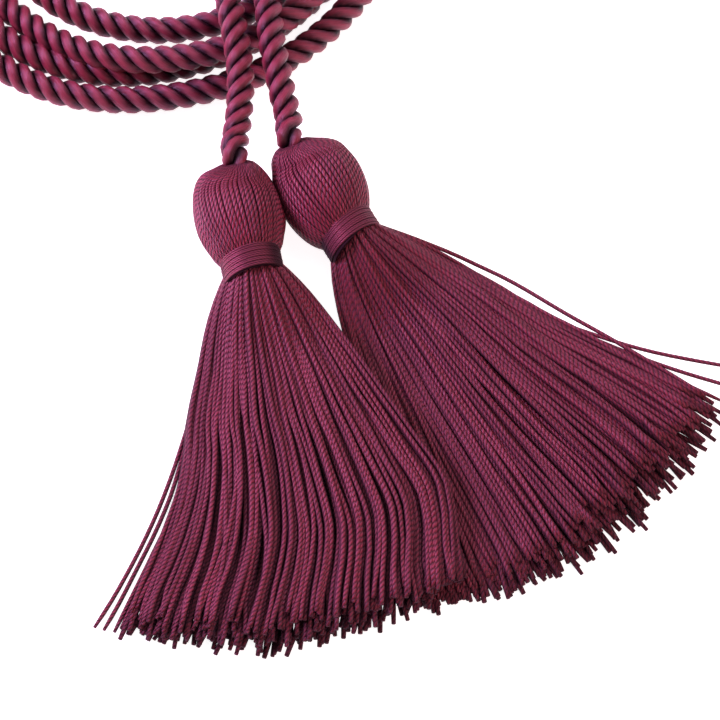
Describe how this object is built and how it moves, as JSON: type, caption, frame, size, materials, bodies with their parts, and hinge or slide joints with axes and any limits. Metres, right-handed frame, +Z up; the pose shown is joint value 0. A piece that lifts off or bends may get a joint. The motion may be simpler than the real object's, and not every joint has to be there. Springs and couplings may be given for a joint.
{
  "type": "honor cord",
  "caption": "Twisted rope cord lying in a loose coil, with a thread-covered head, wound neck band and fanned fringe on each end.",
  "frame": {"origin": "on the surface that it lies on, under the middle of the two tassels' box", "axes": "+Z up from the surface; the left tassel's fringe points towards -Y, and the coil lies towards +Y"},
  "size_m": [0.2035, 0.2787, 0.0212],
  "materials": {
    "rope": "silky twisted rayon",
    "tassel_head": "silky twisted thread",
    "neck_band": "silky wound thread",
    "fringe_thread": "silky twisted thread"
  },
  "bodies": {
    "root": {"coil": "rope", "left_lead": "rope", "right_lead": "rope", "left_head": "tassel_head", "right_head": "tassel_head", "left_neck_band": "neck_band", "right_neck_band": "neck_band", "left_fringe": "fringe_thread", "right_fringe": "fringe_thread"}
  },
  "joints": []
}
